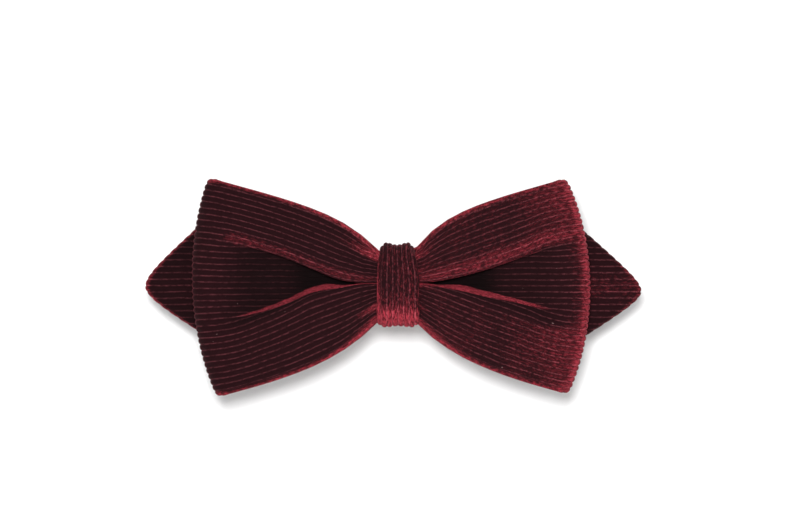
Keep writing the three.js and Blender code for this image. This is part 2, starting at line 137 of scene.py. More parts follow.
def turnOutwards(obj):
    # makes every face of a closed mesh point out
    work = bmesh.new()
    work.from_mesh(obj.data)
    bmesh.ops.recalc_face_normals(work, faces=work.faces)
    work.to_mesh(obj.data)
    work.free()
    return obj


def storePaintedLight(piece, paintedLight):
    # keeps each vertex's painted sheen and shade, which the corduroy material turns into colour
    layer = piece.data.attributes.new("paintedLight", "FLOAT", "POINT")
    layer.data.foreach_set("value", paintedLight.astype(np.float32).ravel())


def ribColumns(ribCount):
    # sample places across a number of whole ribs, in ribs
    return (np.arange(ribCount)[:, None] + np.array(cloth["ribSteps"])[None, :]).ravel()


def newMaterial(name):
    material = bpy.data.materials.new(name)
    material.use_nodes = True
    tree = material.node_tree
    shader = tree.nodes["Principled BSDF"]
    return material, tree, shader


def groupSockets(group, inputs, outputs):
    for name, kind, value in inputs:
        socket = group.interface.new_socket(name, in_out="INPUT", socket_type=kind)
        socket.default_value = value
    for name, kind in outputs:
        group.interface.new_socket(name, in_out="OUTPUT", socket_type=kind)
    return group.nodes.new("NodeGroupInput"), group.nodes.new("NodeGroupOutput")


def mathNode(tree, operation, a, b=None, clamp=False):
    node = tree.nodes.new("ShaderNodeMath")
    node.operation = operation
    node.use_clamp = clamp
    for socket, value in zip(node.inputs, (a, b)):
        if value is None:
            continue
        if hasattr(value, "links"):
            tree.links.new(value, socket)
        else:
            socket.default_value = value
    return node.outputs[0]


def mixColour(tree, factor, a, b, mode="MIX"):
    node = tree.nodes.new("ShaderNodeMix")
    node.data_type = "RGBA"
    node.blend_type = mode
    for index, value in ((0, factor), (6, a), (7, b)):
        if hasattr(value, "links"):
            tree.links.new(value, node.inputs[index])
        else:
            node.inputs[index].default_value = value
    return node.outputs[2]


def rampNode(tree, factor, low, high):
    node = tree.nodes.new("ShaderNodeMapRange")
    node.interpolation_type = "SMOOTHSTEP"
    node.inputs["From Min"].default_value = low
    node.inputs["From Max"].default_value = high
    tree.links.new(factor, node.inputs["Value"])
    return node.outputs["Result"]


def noiseNode(tree, vector, scale, detail=2.0, roughness=0.5):
    node = tree.nodes.new("ShaderNodeTexNoise")
    node.inputs["Scale"].default_value = scale
    node.inputs["Detail"].default_value = detail
    node.inputs["Roughness"].default_value = roughness
    tree.links.new(vector, node.inputs["Vector"])
    return node.outputs["Fac"]


def buildFuzz():
    # short fibres: a fine speckle over slow, uneven patches, and a few specks of lint
    group = bpy.data.node_groups.new("fuzz", "ShaderNodeTree")
    inputs = (("Vector", "NodeSocketVector", (0, 0, 0)), ("Fibre Scale", "NodeSocketFloat", 5000.0),
              ("Patch Scale", "NodeSocketFloat", 110.0))
    outputs = (("Speckle", "NodeSocketFloat"), ("Patches", "NodeSocketFloat"), ("Lint", "NodeSocketFloat"))
    entry, leave = groupSockets(group, inputs, outputs)
    for scaleName, outName, detail in (("Fibre Scale", "Speckle", 2.0), ("Patch Scale", "Patches", 3.0)):
        noise = group.nodes.new("ShaderNodeTexNoise")
        noise.inputs["Detail"].default_value = detail
        group.links.new(entry.outputs["Vector"], noise.inputs["Vector"])
        group.links.new(entry.outputs[scaleName], noise.inputs["Scale"])
        group.links.new(noise.outputs["Fac"], leave.inputs[outName])
    specks = noiseNode(group, entry.outputs["Vector"], 1300.0, 1.0)
    group.links.new(rampNode(group, specks, 0.82, 0.85), leave.inputs["Lint"])
    return group


def buildRibs():
    # the cloth's own map counts ribs across and rib widths along: 1 in the groove and 0 on the pile, with
    # strands of pile drawn out along the rib; the ribs sway a little
    group = bpy.data.node_groups.new("ribs", "ShaderNodeTree")
    entry, leave = groupSockets(group, (("Vector", "NodeSocketVector", (0, 0, 0)), ("Width", "NodeSocketFloat", 0.2)),
                                (("Groove", "NodeSocketFloat"), ("Strand", "NodeSocketFloat")))
    split = group.nodes.new("ShaderNodeSeparateXYZ")
    group.links.new(entry.outputs["Vector"], split.inputs[0])
    drift = group.nodes.new("ShaderNodeMapping")
    drift.inputs["Scale"].default_value = (0.22, 0.6, 1.0)
    group.links.new(entry.outputs["Vector"], drift.inputs["Vector"])
    sway = mathNode(group, "SUBTRACT", noiseNode(group, drift.outputs["Vector"], 1.0, 2.0), 0.5)
    sway = mathNode(group, "MULTIPLY", sway, 0.3)
    part = mathNode(group, "FRACT", mathNode(group, "ADD", split.outputs["Y"], sway))
    fromMiddle = mathNode(group, "ABSOLUTE", mathNode(group, "SUBTRACT", part, 0.5))
    start = mathNode(group, "SUBTRACT", 0.5, entry.outputs["Width"])
    ramp = group.nodes.new("ShaderNodeMapRange")
    ramp.interpolation_type = "SMOOTHSTEP"
    ramp.inputs["From Max"].default_value = 0.5
    group.links.new(fromMiddle, ramp.inputs["Value"])
    group.links.new(start, ramp.inputs["From Min"])
    group.links.new(ramp.outputs["Result"], leave.inputs["Groove"])
    stretch = group.nodes.new("ShaderNodeMapping")
    stretch.inputs["Scale"].default_value = (1.4, 3.6, 1.0)
    group.links.new(entry.outputs["Vector"], stretch.inputs["Vector"])
    group.links.new(noiseNode(group, stretch.outputs["Vector"], 1.0, 3.0, 0.75), leave.inputs["Strand"])
    return group


def buildWear():
    # slow smudges and fine scuffs on metal
    group = bpy.data.node_groups.new("wear", "ShaderNodeTree")
    entry, leave = groupSockets(group, (("Vector", "NodeSocketVector", (0, 0, 0)),),
                                (("Smudge", "NodeSocketFloat"), ("Scuff", "NodeSocketFloat")))
    group.links.new(noiseNode(group, entry.outputs["Vector"], 260.0, 3.0), leave.inputs["Smudge"])
    stretch = group.nodes.new("ShaderNodeMapping")
    stretch.inputs["Scale"].default_value = (250.0, 3000.0, 3000.0)
    group.links.new(entry.outputs["Vector"], stretch.inputs["Vector"])
    group.links.new(noiseNode(group, stretch.outputs["Vector"], 1.0, 3.0, 0.7), leave.inputs["Scuff"])
    return group


def addGroup(tree, group, vector):
    node = tree.nodes.new("ShaderNodeGroup")
    node.node_tree = group
    tree.links.new(vector, node.inputs["Vector"])
    return node


def addBump(tree, shader, height, distance, strength):
    bump = tree.nodes.new("ShaderNodeBump")
    bump.inputs["Distance"].default_value = distance
    bump.inputs["Strength"].default_value = strength
    tree.links.new(height, bump.inputs["Height"])
    tree.links.new(bump.outputs["Normal"], shader.inputs["Normal"])


def corduroyMaterial(name, fuzz, ribs, look):
    # pile looks black down its length and red from its side; here that is painted: a map stored on each piece paints
    # sheen towards bright red and paints shade towards near black; the grooves between the ribs stay a dull middle
    # red, lighter with the painted sheen
    material, tree, shader = newMaterial(name)
    coords = tree.nodes.new("ShaderNodeTexCoord")
    facing = tree.nodes.new("ShaderNodeLayerWeight")
    facing.inputs["Blend"].default_value = 0.3
    paintedLightMap = tree.nodes.new("ShaderNodeAttribute")
    paintedLightMap.attribute_name = "paintedLight"
    uvMap = tree.nodes.new("ShaderNodeUVMap")
    uvMap.uv_map = "threadMap"
    fuzzNode = addGroup(tree, fuzz, coords.outputs["Object"])
    ribNode = addGroup(tree, ribs, uvMap.outputs["UV"])
    ribNode.inputs["Width"].default_value = look["grooveWidth"]
    patches = mathNode(tree, "SUBTRACT", fuzzNode.outputs["Patches"], 0.5)
    patches = mathNode(tree, "MULTIPLY", patches, look["patches"])
    # sheen painted into the colour: lighter where the surface is seen edge-on
    edge = mathNode(tree, "MULTIPLY", facing.outputs["Facing"], look["edge"])
    paintedLight = mathNode(tree, "ADD", mathNode(tree, "ADD", paintedLightMap.outputs["Fac"], edge), patches)
    strand = rampNode(tree, ribNode.outputs["Strand"], *look["strandRange"])
    stray = mathNode(tree, "MULTIPLY", mathNode(tree, "SUBTRACT", strand, 0.5), look["stray"])
    lit = mathNode(tree, "ADD", paintedLight, stray, clamp=True)
    streaks = mathNode(tree, "ADD", mathNode(tree, "MULTIPLY", strand, look["streaks"]), look["streakFloor"])
    lit = mathNode(tree, "MULTIPLY", lit, streaks, clamp=True)
    speckle = rampNode(tree, fuzzNode.outputs["Speckle"], *look["speckleRange"])
    grain = mathNode(tree, "SUBTRACT", speckle, 0.5)
    grainy = mathNode(tree, "ADD", mathNode(tree, "MULTIPLY", grain, look["grain"]), 1.0)
    lit = mathNode(tree, "MULTIPLY", lit, grainy, clamp=True)
    # the pile and the grooves run from dark to bright red with the painted sheen
    pile = mixColour(tree, lit, (*look["dark"], 1), (*look["bright"], 1))
    dull = mixColour(tree, lit, (*look["groove"], 1), (*look["grooveBright"], 1))
    broken = mathNode(tree, "MULTIPLY", strand, look["grooveStreaks"])
    broken = mathNode(tree, "ADD", broken, look["grooveFloor"])
    shown = mathNode(tree, "MULTIPLY", broken, grainy, clamp=True)
    tone = mixColour(tree, mathNode(tree, "MULTIPLY", ribNode.outputs["Groove"], shown), pile, dull)
    # painted crease shade: below zero the map takes the colour towards near black
    creaseShade = rampNode(tree, paintedLightMap.outputs["Fac"], *look["creaseShadeRange"])
    tone = mixColour(tree, creaseShade, (*look["creaseShade"], 1), tone)
    lint = mathNode(tree, "MULTIPLY", fuzzNode.outputs["Lint"], look["lint"])
    tree.links.new(mixColour(tree, lint, tone, (*look["lintColour"], 1)), shader.inputs["Base Color"])
    shader.inputs["Roughness"].default_value = 0.9
    shader.inputs["Specular IOR Level"].default_value = 0.08
    shader.inputs["Sheen Weight"].default_value = look["sheen"]
    shader.inputs["Sheen Roughness"].default_value = 0.35
    shader.inputs["Sheen Tint"].default_value = (*look["sheenTint"], 1)
    addBump(tree, shader, mathNode(tree, "ADD", fuzzNode.outputs["Speckle"], ribNode.outputs["Strand"]), 0.00015, 0.6)
    return material


def clothMaterial(name, colour, fuzz, fibreScale, sheen):
    material, tree, shader = newMaterial(name)
    coords = tree.nodes.new("ShaderNodeTexCoord")
    fuzzNode = addGroup(tree, fuzz, coords.outputs["Object"])
    fuzzNode.inputs["Fibre Scale"].default_value = fibreScale
    lighter = tuple(min(1.0, c * 1.7 + 0.01) for c in colour)
    tone = mixColour(tree, fuzzNode.outputs["Speckle"], (*colour, 1), (*lighter, 1))
    darker = tuple(c * 0.6 for c in colour)
    tone = mixColour(tree, rampNode(tree, fuzzNode.outputs["Patches"], 0.45, 0.8), tone, (*darker, 1))
    tree.links.new(tone, shader.inputs["Base Color"])
    shader.inputs["Roughness"].default_value = 0.92
    shader.inputs["Sheen Weight"].default_value = sheen
    addBump(tree, shader, fuzzNode.outputs["Speckle"], 0.0002, 0.8)
    return material


def metalMaterial(name, colour, roughness, wear):
    material, tree, shader = newMaterial(name)
    coords = tree.nodes.new("ShaderNodeTexCoord")
    wearNode = addGroup(tree, wear, coords.outputs["Object"])
    smudge = rampNode(tree, wearNode.outputs["Smudge"], 0.4, 0.75)
    darker = tuple(c * 0.9 for c in colour)
    tree.links.new(mixColour(tree, smudge, (*colour, 1), (*darker, 1)), shader.inputs["Base Color"])
    rough = mathNode(tree, "ADD", mathNode(tree, "MULTIPLY", smudge, 0.14), roughness)
    rough = mathNode(tree, "ADD", mathNode(tree, "MULTIPLY", wearNode.outputs["Scuff"], 0.1), rough)
    tree.links.new(rough, shader.inputs["Roughness"])
    shader.inputs["Metallic"].default_value = 1.0
    addBump(tree, shader, wearNode.outputs["Scuff"], 0.00002, 0.4)
    return material


fuzzGroup = buildFuzz()
ribGroup = buildRibs()
wearGroup = buildWear()
velvet = {
    "dark": (0.0128, 0.0023, 0.0034),
    # bright: the pile's painted sheen colour
    "bright": (0.34, 0.03, 0.046),
    "groove": (0.098, 0.024, 0.03),
    # grooveBright: the grooves' painted sheen colour
    "grooveBright": (0.44, 0.07, 0.092),
    "grooveWidth": 0.19,
    "grooveStreaks": 1.2,
    "grooveFloor": 0.05,
    # colour of the painted crease shade
    "creaseShade": (0.003, 0.0008, 0.001),
    "creaseShadeRange": (-0.75, 0.0),  # of the painted light map, from full painted crease shade to none
    "patches": 0.3,
    "grain": 0.9,
    # painted sheen where the surface is seen edge-on
    "edge": 0.2,
    "stray": 0.16,
    "streaks": 1.15,
    "streakFloor": 0.14,
    "strandRange": (0.36, 0.68),
    "speckleRange": (0.34, 0.66),
    "lint": 0.3,
    "lintColour": (0.5, 0.3, 0.3),
    "sheen": 0.08,
    "sheenTint": (0.9, 0.25, 0.3),
}
bowCorduroy = corduroyMaterial("bowCorduroy", fuzzGroup, ribGroup, velvet)
knotCorduroy = corduroyMaterial("knotCorduroy", fuzzGroup, ribGroup, {**velvet, "patches": 0.5, "stray": 0.4})
canvas = clothMaterial("canvas", (0.62, 0.58, 0.48), fuzzGroup, 2600.0, 0.0)
felt = clothMaterial("felt", (0.02, 0.0035, 0.0055), fuzzGroup, 3800.0, 0.06)
sewingThread = clothMaterial("sewingThread", (0.085, 0.012, 0.02), fuzzGroup, 5200.0, 0.3)
nickelPlate = metalMaterial("nickelPlate", (0.74, 0.72, 0.67), 0.17, wearGroup)
springSteel = metalMaterial("springSteel", (0.42, 0.42, 0.43), 0.3, wearGroup)
print("materials made")


bowLow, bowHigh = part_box("front_bow_cover")
knotLow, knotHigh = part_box("knot_band_cover")
bow = {
    "ribs": 34,
    "edgeRibs": 2,
    "waistHalf": 8.0 * mm,  # half height inside the knot band
    "release": (3.9 * mm, 5.6 * mm),  # the cloth swells out round the band's rounded edge
    "gatherEnd": 5.0 * mm,
    "bandRows": (0.85, 0.4, 0.0),  # rows inside the band, as shares of gatherEnd
    "foldRadius": 2.4 * mm,
    "backEnd": 0.6 * mm,
    "rollRadius": 2.6 * mm,  # the long edges roll back where they have no room to lie flat
    "rollAngle": np.radians(100),
    "crowding": 0.34,  # how much closer the ribs lie at the band, and over what run
    "crowdRun": 9.0 * mm,
    "pucker": 0.16 * mm,  # small waves over the same run
    "rimAtBand": 0.44,
    "valleyFloor": -13.3 * mm,  # depth of the pleat's floor, and of the inner skin behind it
    "innerBehind": 1.8 * mm,
    "leastSkin": 0.5 * mm,
    "pleatOpens": (0.6 * mm, 4.5 * mm),
    "rimForward": 1.3 * mm,
    "lobeSwell": 0.45 * mm,
    "edgeFall": 1.3 * mm,
    "undercut": 0.5 * mm,
    "lowWall": 2.0 * mm,  # height of the slope between the pleat's floor and the lower crest
    "converge": 0.16,
    "backRows": 12,
    "foldRows": 13,
    "frontRows": 56,
    "finePlaces": 341,
    "smoothPasses": 14,
    "innerPasses": 160,  # the inner skin runs much smoother
}
wings = {
    "left": {
        "side": -1, "reach": -bowLow.x, "tilt": 1.05 * mm, "curve": 4.55 * mm,
        "top": (9.0 * mm, 0.26, 7.2 * mm, 8.4 * mm), "low": (9.6 * mm, 0.21, 10.8 * mm, 13.0 * mm),
        # the crests of the two lobes, from the band out to the fold
        "rimTop": ((4.0, 0.6), (10.0, 0.7), (15.0, 1.5), (22.0, 4.3), (30.0, 7.5), (38.0, 9.8), (50.0, 11.9)),
        "rimLow": ((4.0, 0.5), (10.0, 0.2), (16.0, -0.9), (22.0, -2.1), (28.0, -4.7), (35.0, -7.1), (50.0, -9.6)),
    },
    "right": {
        "side": 1, "reach": bowHigh.x, "tilt": -0.25 * mm, "curve": 5.15 * mm,
        "top": (10.4 * mm, 0.27, 6.7 * mm, 7.2 * mm), "low": (10.5 * mm, 0.205, 10.1 * mm, 13.6 * mm),
        "rimTop": ((4.0, 0.6), (8.0, 0.8), (14.0, 1.8), (22.0, 3.9), (34.0, 7.9), (46.0, 11.4)),
        "rimLow": ((4.0, 0.5), (7.0, 0.3), (14.0, -1.1), (20.0, -2.5), (29.4, -4.5), (36.0, -5.9), (46.0, -7.2)),
    },
}


def curveThrough(points, x):
    # cubic pieces through the points: h00 * a + h10 * h * sa + h01 * b + h11 * h * sb
    placeX, placeZ = np.array(points).T * mm
    slope = np.gradient(placeZ, placeX)
    i = np.clip(np.searchsorted(placeX, x) - 1, 0, len(placeX) - 2)
    step = placeX[i + 1] - placeX[i]
    s = np.clip((x - placeX[i]) / step, 0, 1)
    a = (2 * s ** 3 - 3 * s ** 2 + 1) * placeZ[i] + (s ** 3 - 2 * s ** 2 + s) * step * slope[i]
    b = (3 * s ** 2 - 2 * s ** 3) * placeZ[i + 1] + (s ** 3 - s ** 2) * step * slope[i + 1]
    return a + b


def edgeHeight(edge, x):
    # waist + slope * run + flare * (1 - exp(-run / turn)), held to the gathered height inside the band
    waist, slope, flare, turn = edge
    run = np.maximum(0.0, np.abs(x) - knotHigh.x)
    opened = waist + slope * run + flare * (1.0 - np.exp(-run / turn))
    return blendValue(bow["waistHalf"], opened, smoothStep(*bow["release"], np.abs(x)))


def wingSkins(wing, backY):
    # outer and inner skin of one wing on a fine grid: rows run from the end behind the knot, out over the
    # back, round the fold and in along the front; columns run over the strip from its low to its top edge
    half = cloth["thickness"] / 2
    t = np.linspace(-1, 1, bow["finePlaces"])[None, :]
    foldX = wing["reach"] + wing["tilt"] * t - wing["curve"] * t * t - half - bow["foldRadius"]
    share = (1.0 - (1.0 - np.linspace(0, 1, bow["backRows"])[:, None]) ** 1.3) + 0 * t
    backX = blendValue(bow["gatherEnd"], foldX, share)
    backX = np.concatenate([np.full_like(foldX, bow["backEnd"]), backX])
    angle = np.pi * (np.arange(bow["foldRows"])[:, None] + 1) / (bow["foldRows"] + 1) + 0 * t
    frontShare = np.linspace(1, 0, bow["frontRows"])[:, None] ** 1.3 + 0 * t
    frontX = blendValue(bow["gatherEnd"], foldX, frontShare)
    frontX = np.concatenate([frontX, bow["gatherEnd"] * np.array(bow["bandRows"])[:, None] + 0 * t])
    wrapX = foldX + bow["foldRadius"] * np.sin(angle)
    x = np.concatenate([backX, wrapX, frontX])
    aimX = np.concatenate([0 * backX, np.sin(angle), 0 * frontX])
    aimY = np.concatenate([np.ones_like(backX), np.cos(angle), -np.ones_like(frontX)])
    y = np.concatenate([np.full_like(backX, backY), backY + bow["foldRadius"] * (np.cos(angle) - 1),
                        np.full_like(frontX, backY - 2 * bow["foldRadius"])])
    z = plainHeight(wing, x, t)
    outer = np.stack([x + aimX * half, y + aimY * half, z], axis=2)
    inner = np.stack([x - aimX * half, y - aimY * half, z], axis=2)
    first = len(backX) + len(angle)
    outer[first:, :, 1:], inner[first:, :, 1:] = frontSkins(wing, frontX, t, foldX, outer[first, 0, 1])
    outer[:, :, 0] *= wing["side"]
    inner[:, :, 0] *= wing["side"]
    return outer, inner


def plainHeight(wing, x, t):
    # height of an even strip: straight from the low edge to the top edge
    half = cloth["thickness"] / 2
    return blendValue(half - edgeHeight(wing["low"], x), edgeHeight(wing["top"], x) - half, (t + 1) / 2)


def frontSkins(wing, x, t, foldX, foldSkinY):
    # two lobes with a deep pleat between them. The pleat's floor keeps the ribs level and passes back under
    # the upper lobe; its walls take up the ribs that are out of sight. Each edge rolls back near the band.
    half = cloth["thickness"] / 2
    out = np.clip((x - bow["gatherEnd"]) / (foldX - bow["gatherEnd"]), 0, 1)
    rimTop = curveThrough(wing["rimTop"], x)
    rimLow = curveThrough(wing["rimLow"], x)
    squeeze = 1 - bow["converge"] * (1 - out) ** 1.2
    floorLow = plainHeight(wing, foldX, -1.0) * squeeze
    floorTop = plainHeight(wing, foldX, 1.0) * squeeze
    floorZ = blendValue(floorLow, floorTop, (t + 1) / 2)
    rimTopEnd = 2 * (curveThrough(wing["rimTop"], foldX) - floorLow) / (floorTop - floorLow) - 1
    rimLowEnd = 2 * (curveThrough(wing["rimLow"], foldX) - floorLow) / (floorTop - floorLow) - 1
    rimTopT = blendValue(bow["rimAtBand"], rimTopEnd, out)
    rimLowT = blendValue(-bow["rimAtBand"], rimLowEnd, out)
    opening = smoothStep(*bow["pleatOpens"], rimTop - rimLow)
    wallTop = rimLow + bow["lowWall"] * opening * (1 - out) ** 0.7
    floorTopT = np.minimum(2 * (rimTop - floorLow) / (floorTop - floorLow) - 1, rimTopT - 0.03)
    floorLowT = np.maximum(2 * (wallTop - floorLow) / (floorTop - floorLow) - 1, rimLowT + 0.03)
    topWall = np.clip((t - floorTopT) / (rimTopT - floorTopT), 0, 1)
    lowWall = np.clip((floorLowT - t) / (floorLowT - rimLowT), 0, 1)
    rimY = foldSkinY - bow["rimForward"] * np.sin(np.pi * (1 - out) ** 1.9)
    floorY = blendValue(bow["valleyFloor"], foldSkinY, out ** 1.5)
    z = np.clip(floorZ, wallTop, rimTop) - (wallTop - rimLow) * lowWall
    z = z + bow["undercut"] * (1 - out) * np.sin(np.pi * topWall)
    y = floorY + (rimY - floorY) * np.maximum(topWall ** 1.3, lowWall ** 0.8)
    crowded = 1 - bow["crowding"] * np.exp(-(x - bow["gatherEnd"]) / bow["crowdRun"])
    halfFlat = cloth["ribPitch"] * bow["ribs"] / 2 * crowded
    for sign, edge, rim, rimT in ((1, "top", rimTop, rimTopT), (-1, "low", rimLow, rimLowT)):
        height = edgeHeight(wing[edge], x)
        roll = smoothStep(0.0, 0.2, 1 - sign * rimT - (height - sign * rim) / halfFlat)
        radius = bow["rollRadius"] * roll
        flatT = sign * rimT + (height - sign * rim - 0.6 * radius) / halfFlat
        turnT = np.where(roll > 0.001, np.minimum(flatT, 1), 1)
        edgeZ = sign * (height - half * (1 - roll))
        away = np.clip((sign * t - sign * rimT) / (turnT - sign * rimT), 0, 1)
        turn = np.clip((sign * t - turnT) / np.maximum(1 - turnT, 1e-6), 0, 1) * bow["rollAngle"]
        lobeZ = blendValue(rim, edgeZ - sign * radius, away) + sign * radius * np.sin(turn)
        lobeY = rimY - 4 * bow["lobeSwell"] * (1 - out) ** 0.6 * away * (1 - away)
        lobeY = lobeY + bow["edgeFall"] * (1 - out) * away ** 2.5 * (1 - roll) + radius * (1 - np.cos(turn))
        onLobe = sign * t > sign * rimT
        z = np.where(onLobe, lobeZ, z)
        y = np.where(onLobe, lobeY, y)
    gather = np.exp(-np.maximum(0, x - bow["gatherEnd"]) / bow["crowdRun"])
    y = y + bow["pucker"] * gather * (np.sin(29 * t + 0.6) + np.sin(17 * t + 2.1 * wing["side"]))
    y, z = smoothColumns(y, bow["smoothPasses"]), smoothColumns(z, bow["smoothPasses"])
    z = blendValue(z, plainHeight(wing, x, t), smoothStep(0.7, 1.0, out))
    slowY, slowZ = smoothColumns(y, bow["innerPasses"]), smoothColumns(z, bow["innerPasses"])
    alongY, alongZ = np.gradient(slowY, axis=1), np.gradient(slowZ, axis=1)
    length = np.maximum(np.hypot(alongY, alongZ), 1e-9)
    innerY = slowY + cloth["thickness"] * alongZ / length
    innerZ = slowZ - cloth["thickness"] * alongY / length
    innerY = np.minimum(np.maximum(innerY, y + bow["leastSkin"]), bow["valleyFloor"] + bow["innerBehind"])
    return np.stack([y, z], axis=2), np.stack([innerY, innerZ], axis=2)


def stripRing(ribsAcross, edgeRibs):
    # places round the section of a made-up strip: outer skin, top edge, inner skin, low edge, with the rib phase
    face = ribColumns(ribsAcross)
    edge = ribColumns(edgeRibs)
    acrossFace = 2 * face / ribsAcross - 1
    turn = np.pi * edge / edgeRibs
    across = np.concatenate([acrossFace, np.ones_like(edge), -acrossFace, -np.ones_like(edge)])
    lean = np.concatenate([np.ones_like(face), np.cos(turn), -np.ones_like(face), -np.cos(turn)])
    push = np.concatenate([np.zeros_like(face), np.sin(turn), np.zeros_like(face), np.sin(turn)])
    phase = np.concatenate([face, ribsAcross + edge, ribsAcross + edgeRibs + face,
                            2 * ribsAcross + edgeRibs + edge])
    return across, lean, push, phase


def thinRing(steps):
    # section of a thin layer half way between the skins, a little narrower than they are
    face = np.linspace(-0.96, 0.96, steps)
    return np.concatenate([face, face[::-1]]), np.repeat([0.16, -0.16], steps)


def ringPoints(outer, inner, across, lean, push):
    # middle + (outer - middle) * lean + edge direction * half thickness * push, sampled from the fine skins
    place = (across + 1) / 2 * (outer.shape[1] - 1)
    i = np.clip(np.floor(place).astype(int), 0, outer.shape[1] - 2)
    f = (place - i)[None, :, None]
    outerAt = blendValue(outer[:, i], outer[:, i + 1], f)
    innerAt = blendValue(inner[:, i], inner[:, i + 1], f)
    middle = (outerAt + innerAt) / 2
    towards = np.where(across[None, :, None] > 0, outer[:, -1:] - outer[:, -5:-4], outer[:, :1] - outer[:, 4:5])
    towards = towards / np.maximum(np.linalg.norm(towards, axis=2, keepdims=True), 1e-12)
    halfThick = np.linalg.norm(outerAt - middle, axis=2, keepdims=True)
    return middle + (outerAt - middle) * lean[None, :, None] + towards * halfThick * push[None, :, None]


def closedStrip(name, points, material, uv, paintedLight=None):
    # a tube with closed ends: rows run along it and columns round it
    rows, columns = points.shape[:2]
    faces = gridFaces(rows, columns, True).tolist()
    cap = np.arange(columns)
    faces.append(cap.tolist())
    faces.append((cap[::-1] + (rows - 1) * columns).tolist())
    piece = makePiece(name, points, faces, material, uv)
    if paintedLight is not None:
        storePaintedLight(piece, paintedLight)
    return turnOutwards(piece)


def raiseRibs(points, phase, height):
    # lifts each point off the surface by the rib profile, less where the ribs are squeezed together
    spacing = np.linalg.norm(np.roll(points, -1, axis=1) - points, axis=2)
    steps = np.roll(phase, -1) - phase
    steps = np.where(steps < 0, 1 - cloth["ribSteps"][-1], steps)
    pitch = smoothColumns(spacing / np.maximum(steps, 1e-6), 12)
    squeeze = np.clip(pitch / cloth["ribPitch"], 0.1, 1.0) ** 0.8
    return points + surfaceNormals(points, True) * (ribProfile(phase)[None, :] * height * squeeze)[:, :, None]


def stripUv(points, phase):
    lengths = np.linalg.norm(np.diff(points, axis=0), axis=2).mean(axis=1)
    along = np.concatenate([[0], np.cumsum(lengths)]) / cloth["ribPitch"]
    return np.stack(np.broadcast_arrays(along[:, None], phase[None, :]), axis=2), float(along[-1]) * cloth["ribPitch"]


def joinWings(left, right):
    # left wing from its back end to the middle, then the right wing from the middle to its back end
    return np.concatenate([left, right[::-1][1:]])


bowSheenAndShade = {
    "start": 0.16,  # painted sheen: how far the cloth turns before it begins, and where it is full
    "full": 0.85,
    "edges": 0.72,
    "edgesByBand": 0.4,
    "bandRun": 10 * mm,
    "wallsWithin": 0.62,  # the pleat's two walls lie this near the strip's middle
    # painted shade on the pleat's upper wall, which faces down, and painted sheen on its lower wall
    "upperWall": 0.4,
    "lowerWall": 0.95,
    # painted sheen where the cloth turns to the right, and at the right wing's end
    "rightFold": 0.8,
    "rightEnd": 0.45,
    "rightEndFrom": (27 * mm, 50 * mm),
    "corners": (0.25, 0.5, 0.75),  # painted highlight at the right wing's end: share at mid height, and added at the low and the top corner
    "lowCorner": (2 * mm, 22 * mm),
    "topCorner": (12 * mm, 26 * mm),
    "crest": 0.3,  # painted highlight along the upper lobe's crest
    "crestAcross": 0.51,
    "crestWidth": 0.07,
    "crestEnd": (40 * mm, 50 * mm),
    "creaseShade": 1.1,  # painted crease shade, down in the pleat
    "creaseShadeWithin": 0.5,
    "creaseShadeDepth": (-15.6 * mm, -13.6 * mm),
    "creaseShadeEnd": (11 * mm, 30 * mm),
    # painted shade over the left wing, and along the pleat
    "leftShade": 0.14,
    "pleatShade": 0.34,
    "pleatSide": (0.36, 0.48),
    "pleatEnd": (36 * mm, 50 * mm),
}


